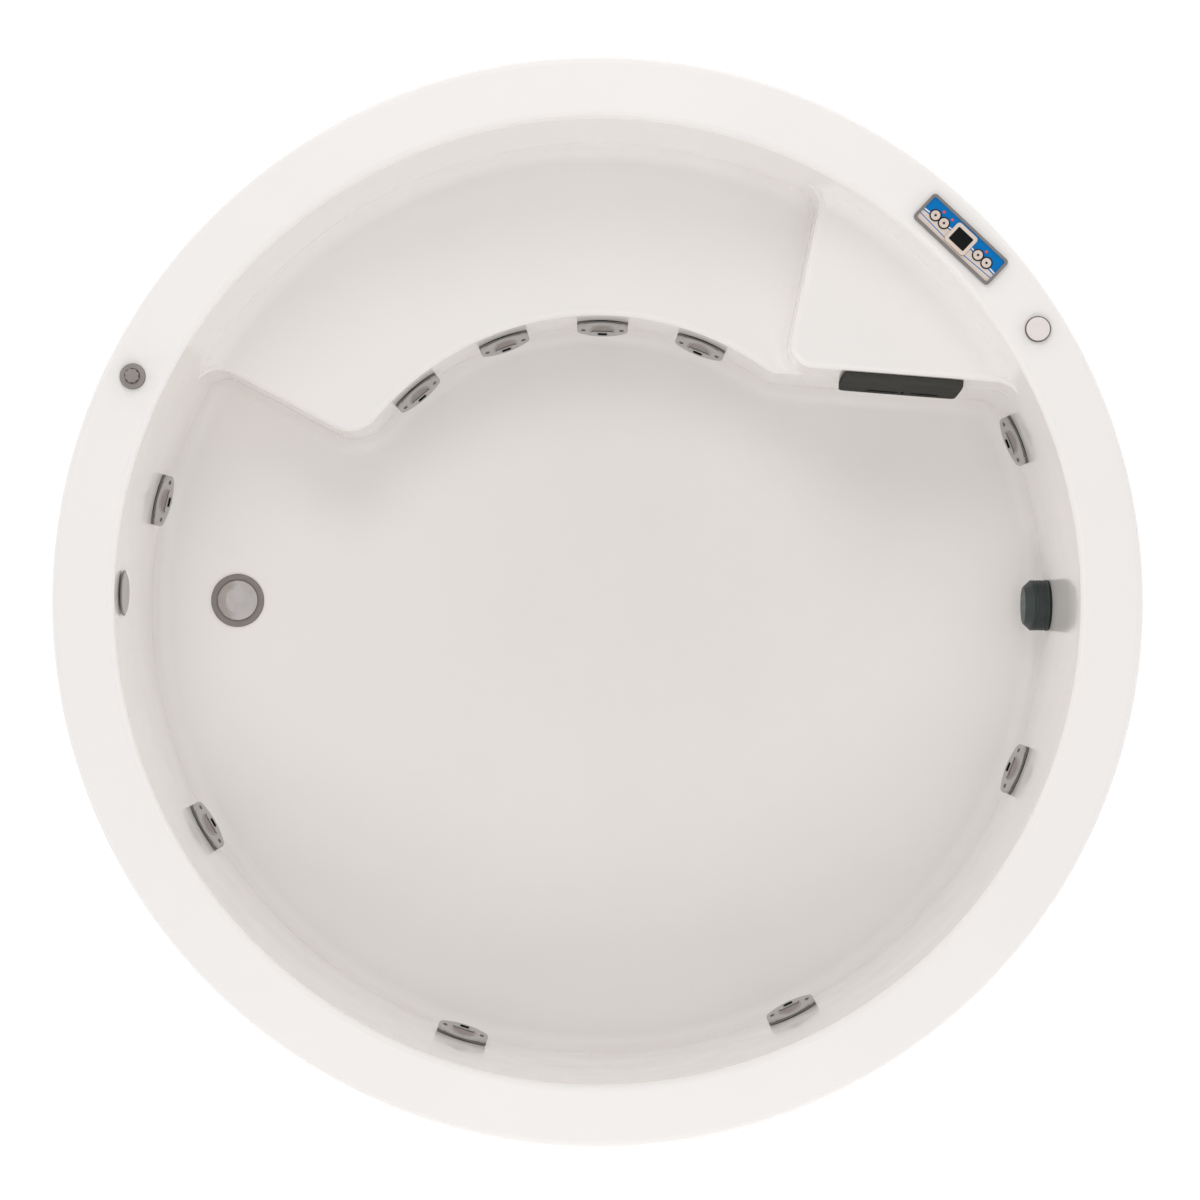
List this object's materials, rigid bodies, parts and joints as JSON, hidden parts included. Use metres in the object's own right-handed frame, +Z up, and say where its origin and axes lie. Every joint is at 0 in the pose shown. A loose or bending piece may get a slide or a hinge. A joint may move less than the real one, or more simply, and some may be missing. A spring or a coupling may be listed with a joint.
{
  "type": "round hot tub",
  "caption": "Round acrylic hot tub with a crescent bench, a raised platform, water jets, pop-up waste, filter cover and rim controls, on a framed base with side panels.",
  "frame": {"origin": "on the ground under the middle of the tub", "axes": "+Z up, +Y towards the bench, +X towards the suction side and the raised platform"},
  "size_m": [1.8, 1.8, 0.6786],
  "materials": {
    "acrylic": "gloss",
    "satin_metal": "satin",
    "chrome": "polished",
    "dark_plastic": "satin",
    "cover_plastic": "satin",
    "black_plastic": "satin",
    "grey_plastic": "satin",
    "button_plastic": "gloss",
    "key_plastic": "satin",
    "display_plastic": "gloss",
    "pipe_plastic": "satin",
    "hose_plastic": "satin",
    "board": "sealed",
    "zinc_steel": "galvanised",
    "rubber": "matte",
    "motor_paint": "satin"
  },
  "bodies": {
    "tub": {"tub_shell": "acrylic", "base_board": "board", "frame_rail_left": "zinc_steel", "frame_rail_right": "zinc_steel", "frame_cross_front": "zinc_steel", "frame_cross_middle": "zinc_steel", "frame_cross_rear": "zinc_steel", "foot_1": "rubber", "foot_2": "rubber", "foot_3": "rubber", "foot_4": "rubber", "foot_5": "rubber", "apron_1": "acrylic", "apron_2": "acrylic", "apron_3": "acrylic", "apron_4": "acrylic", "jet_face_1": "satin_metal", "jet_face_2": "satin_metal", "jet_face_3": "satin_metal", "jet_face_4": "satin_metal", "jet_face_5": "satin_metal", "jet_face_6": "satin_metal", "jet_face_7": "satin_metal", "jet_face_8": "satin_metal", "jet_face_9": "satin_metal", "jet_face_10": "satin_metal", "water_pipework": "pipe_plastic", "air_pipework": "hose_plastic", "suction_cover": "dark_plastic", "suction_pipe": "pipe_plastic", "drain_flange": "chrome", "drain_trap": "pipe_plastic", "overflow_pipe": "pipe_plastic", "filter_housing": "dark_plastic", "air_control_base": "grey_plastic", "start_button_ring": "black_plastic", "panel_housing": "grey_plastic", "panel_display": "display_plastic", "pump_wet_end": "black_plastic", "pump_motor": "motor_paint", "control_box": "grey_plastic"},
    "nozzle_1": {"jet_nozzle_1": "satin_metal"},
    "nozzle_2": {"jet_nozzle_2": "satin_metal"},
    "nozzle_3": {"jet_nozzle_3": "satin_metal"},
    "nozzle_4": {"jet_nozzle_4": "satin_metal"},
    "nozzle_5": {"jet_nozzle_5": "satin_metal"},
    "nozzle_6": {"jet_nozzle_6": "satin_metal"},
    "nozzle_7": {"jet_nozzle_7": "satin_metal"},
    "nozzle_8": {"jet_nozzle_8": "satin_metal"},
    "nozzle_9": {"jet_nozzle_9": "satin_metal"},
    "nozzle_10": {"jet_nozzle_10": "satin_metal"},
    "overflow": {"overflow_knob": "chrome"},
    "plug": {"drain_plug": "chrome"},
    "air_knob": {"air_control_knob": "grey_plastic"},
    "start_button": {"start_button_cap": "button_plastic"},
    "panel_key_1": {"panel_button_1": "key_plastic"},
    "panel_key_2": {"panel_button_2": "key_plastic"},
    "panel_key_3": {"panel_button_3": "key_plastic"},
    "panel_key_4": {"panel_button_4": "key_plastic"},
    "cover": {"filter_cover": "cover_plastic"}
  },
  "joints": [
    {"name": "nozzle_1_turn", "type": "hinge", "parent": "tub", "child": "nozzle_1", "pos_m": [0.17972, 0.45392, 0.29817], "axis": [-0.3389, -0.8559, 0.3907], "range_deg": [0, 90]},
    {"name": "nozzle_2_turn", "type": "hinge", "parent": "tub", "child": "nozzle_2", "pos_m": [0.00852, 0.48812, 0.29817], "axis": [-0.0161, -0.9204, 0.3907], "range_deg": [0, 90]},
    {"name": "nozzle_3_turn", "type": "hinge", "parent": "tub", "child": "nozzle_3", "pos_m": [-0.16377, 0.45991, 0.29817], "axis": [0.3088, -0.8672, 0.3907], "range_deg": [0, 90]},
    {"name": "nozzle_4_turn", "type": "hinge", "parent": "tub", "child": "nozzle_4", "pos_m": [-0.31511, 0.37288, 0.29817], "axis": [0.5941, -0.7031, 0.3907], "range_deg": [0, 90]},
    {"name": "nozzle_5_turn", "type": "hinge", "parent": "tub", "child": "nozzle_5", "pos_m": [-0.75768, 0.1819, 0.32017], "axis": [0.8951, -0.2149, 0.3907], "range_deg": [0, 90]},
    {"name": "nozzle_6_turn", "type": "hinge", "parent": "tub", "child": "nozzle_6", "pos_m": [-0.67819, -0.3837, 0.32017], "axis": [0.8012, 0.4533, 0.3907], "range_deg": [0, 90]},
    {"name": "nozzle_7_turn", "type": "hinge", "parent": "tub", "child": "nozzle_7", "pos_m": [-0.23431, -0.74314, 0.32017], "axis": [0.2768, 0.8779, 0.3907], "range_deg": [0, 90]},
    {"name": "nozzle_8_turn", "type": "hinge", "parent": "tub", "child": "nozzle_8", "pos_m": [0.33546, -0.7033, 0.32017], "axis": [-0.3963, 0.8308, 0.3907], "range_deg": [0, 90]},
    {"name": "nozzle_9_turn", "type": "hinge", "parent": "tub", "child": "nozzle_9", "pos_m": [0.72499, -0.28558, 0.32017], "axis": [-0.8565, 0.3374, 0.3907], "range_deg": [0, 90]},
    {"name": "nozzle_10_turn", "type": "hinge", "parent": "tub", "child": "nozzle_10", "pos_m": [0.72499, 0.28558, 0.32017], "axis": [-0.8565, -0.3374, 0.3907], "range_deg": [0, 90]},
    {"name": "overflow_turn", "type": "hinge", "parent": "tub", "child": "overflow", "pos_m": [-0.79417, 0.01386, 0.575], "axis": [0.9989, -0.0174, 0.0436], "range_deg": [0, 90]},
    {"name": "plug_lift", "type": "slide", "parent": "tub", "child": "plug", "axis": [0, 0, 1], "range_m": [0, 0.012]},
    {"name": "air_knob_turn", "type": "hinge", "parent": "tub", "child": "air_knob", "pos_m": [-0.76682, 0.36904, 0.66], "axis": [0, 0, 1], "range_deg": [0, 180]},
    {"name": "start_button_press", "type": "slide", "parent": "tub", "child": "start_button", "axis": [0, 0, -1], "range_m": [0, 0.003], "stiffness_N_per_m": 400, "springref_m": -0.001},
    {"name": "panel_key_1_press", "type": "slide", "parent": "tub", "child": "panel_key_1", "axis": [0, 0, -1], "range_m": [0, 0.0015], "stiffness_N_per_m": 500, "springref_m": -0.0008},
    {"name": "panel_key_2_press", "type": "slide", "parent": "tub", "child": "panel_key_2", "axis": [0, 0, -1], "range_m": [0, 0.0015], "stiffness_N_per_m": 500, "springref_m": -0.0008},
    {"name": "panel_key_3_press", "type": "slide", "parent": "tub", "child": "panel_key_3", "axis": [0, 0, -1], "range_m": [0, 0.0015], "stiffness_N_per_m": 500, "springref_m": -0.0008},
    {"name": "panel_key_4_press", "type": "slide", "parent": "tub", "child": "panel_key_4", "axis": [0, 0, -1], "range_m": [0, 0.0015], "stiffness_N_per_m": 500, "springref_m": -0.0008},
    {"name": "cover_hinge", "type": "hinge", "parent": "tub", "child": "cover", "pos_m": [0.51779, 0.37728, 0.4952], "axis": [-0.9969, 0.0785, 0], "range_deg": [0, 95]}
  ],
  "couplings": [
    {"joint": "plug_lift", "follows": "overflow_turn", "m_per_rad": 0.00763}
  ]
}
